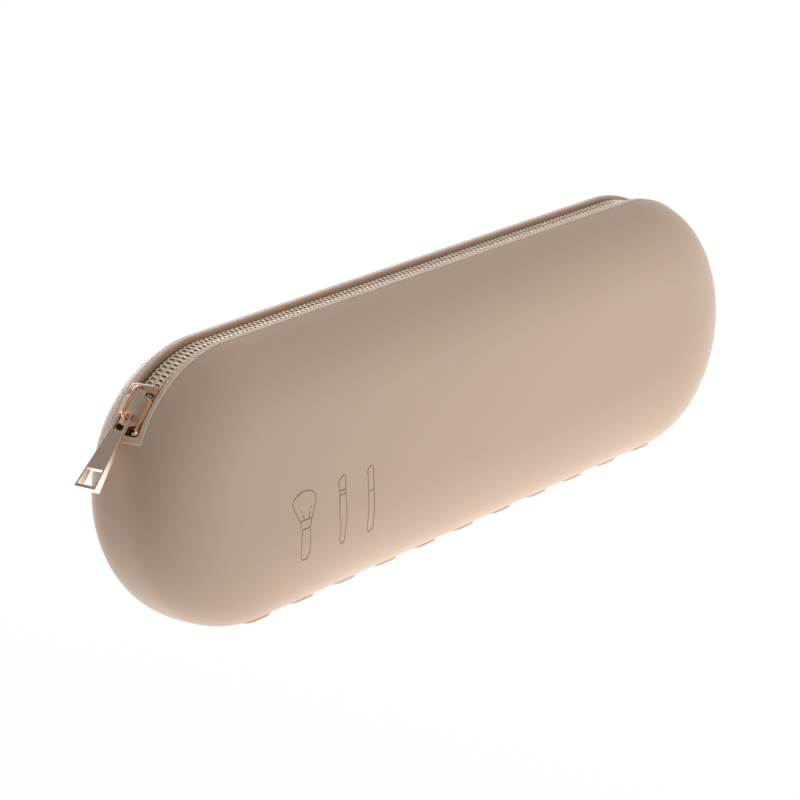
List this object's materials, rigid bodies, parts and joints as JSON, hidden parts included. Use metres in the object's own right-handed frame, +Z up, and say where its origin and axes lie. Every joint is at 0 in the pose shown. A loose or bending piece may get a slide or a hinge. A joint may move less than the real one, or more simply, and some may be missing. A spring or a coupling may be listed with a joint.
{
  "type": "zippered silicone brush pouch",
  "caption": "Upright pillow-shaped capsule pouch in soft moulded silicone, closed over its top by a recessed coil zip with a metal slider and a hinged pull tab.",
  "frame": {"origin": "middle of the pouch's length and thickness, at the flat underside of its base pads", "axes": "+X along the pouch with the closed slider at the -X end, +Y towards the back, +Z up towards the zip"},
  "size_m": [0.2379, 0.034, 0.0724],
  "materials": {
    "silicone": "soft matt moulded silicone",
    "tape": "woven polyester",
    "coil": "metallised nylon coil",
    "plating": "polished rose-gold plating"
  },
  "bodies": {
    "pouch": {"pouch_shell": "silicone", "zip_surround": "silicone", "zip_tape_front": "tape", "zip_tape_back": "tape", "zip_coil_front": "coil", "zip_coil_back": "coil", "top_stop_front": "plating", "top_stop_back": "plating", "bottom_stop": "plating"},
    "slider": {"slider_body": "plating"},
    "tab": {"pull_tab": "plating"}
  },
  "joints": [
    {"name": "slider_travel", "type": "hinge", "parent": "pouch", "child": "slider", "pos_m": [-0.079, 0, 0.0366], "axis": [0, 1, 0], "range_deg": [0, 38], "deforming": ["zip_coil_front", "zip_coil_back", "zip_tape_front", "zip_tape_back"]},
    {"name": "tab_swing", "type": "hinge", "parent": "slider", "child": "tab", "pos_m": [-0.10741, 0, 0.06079], "axis": [0, 1, 0], "range_deg": [-13, 142]}
  ]
}
